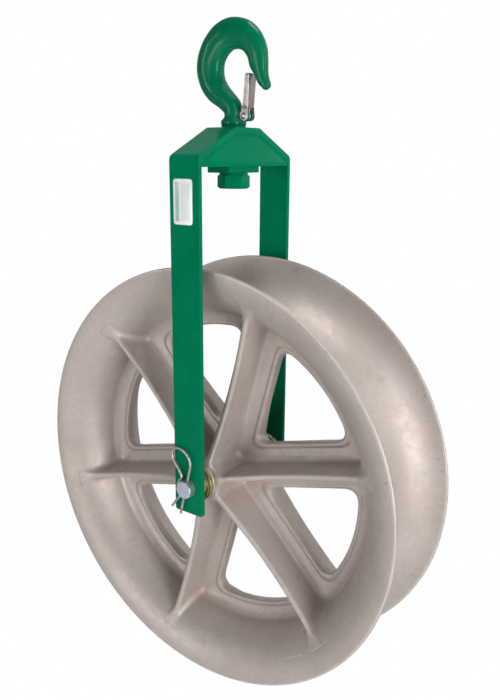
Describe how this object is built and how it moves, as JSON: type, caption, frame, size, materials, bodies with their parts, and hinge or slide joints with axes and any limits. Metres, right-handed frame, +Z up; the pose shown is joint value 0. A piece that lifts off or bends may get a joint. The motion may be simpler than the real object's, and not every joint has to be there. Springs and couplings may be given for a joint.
{
  "type": "stringing block",
  "caption": "Hook-hung stringing block with a wide-grooved cast wheel turning on a removable pin in a welded flat-bar yoke under a swivel hook with a spring latch.",
  "frame": {"origin": "hook's bearing seat, the top of the bowl's inner surface, in the hook's plane and in the middle of its thickness", "axes": "+Z up along the swivel axis, +Y along the sheave's axle towards the pin's headed end, +X completes the right hand, towards the hook's mouth"},
  "size_m": [0.6095, 0.2226, 0.9258],
  "materials": {
    "green_paint": "gloss",
    "cast_aluminium": "blasted",
    "bronze": "machined",
    "bright_steel": "machined",
    "zinc_steel": "zinc plated",
    "label_blank": "satin"
  },
  "bodies": {
    "hook": {"hook_body": "green_paint", "collar_washer": "green_paint", "nut_washer": "green_paint", "swivel_nut": "green_paint", "nut_roll_pin": "zinc_steel", "latch_rivet": "zinc_steel"},
    "latch": {"hook_latch": "zinc_steel", "latch_spring": "zinc_steel"},
    "yoke": {"yoke_strap": "green_paint", "right_gusset": "green_paint", "left_gusset": "green_paint", "gusset_welds": "green_paint", "swivel_block": "green_paint", "swivel_sleeve": "bronze", "label_plate": "label_blank", "front_spacer": "bright_steel", "rear_spacer": "bright_steel", "front_thrust_washer": "bronze", "rear_thrust_washer": "bronze"},
    "axle": {"axle_pin": "bright_steel", "hairpin_clip": "zinc_steel"},
    "sheave": {"sheave_rim": "cast_aluminium", "sheave_spider": "cast_aluminium", "front_hub_bushing": "bronze", "rear_hub_bushing": "bronze"}
  },
  "joints": [
    {"name": "latch_pivot", "type": "hinge", "parent": "hook", "child": "latch", "pos_m": [0.0225, 0, -0.0835], "axis": [0, 1, 0], "range_deg": [-25, 0], "stiffness_Nm_per_rad": 0.1, "springref_deg": 17.19},
    {"name": "yoke_swivel", "type": "hinge", "parent": "hook", "child": "yoke", "pos_m": [0, 0, -0.1], "axis": [0, 0, 1], "continuous": true},
    {"name": "axle_pin_turn", "type": "hinge", "parent": "yoke", "child": "axle", "pos_m": [0, 0, -0.582], "axis": [0, 1, 0], "continuous": true},
    {"name": "sheave_spin", "type": "hinge", "parent": "yoke", "child": "sheave", "pos_m": [0, 0, -0.582], "axis": [0, 1, 0], "continuous": true}
  ]
}
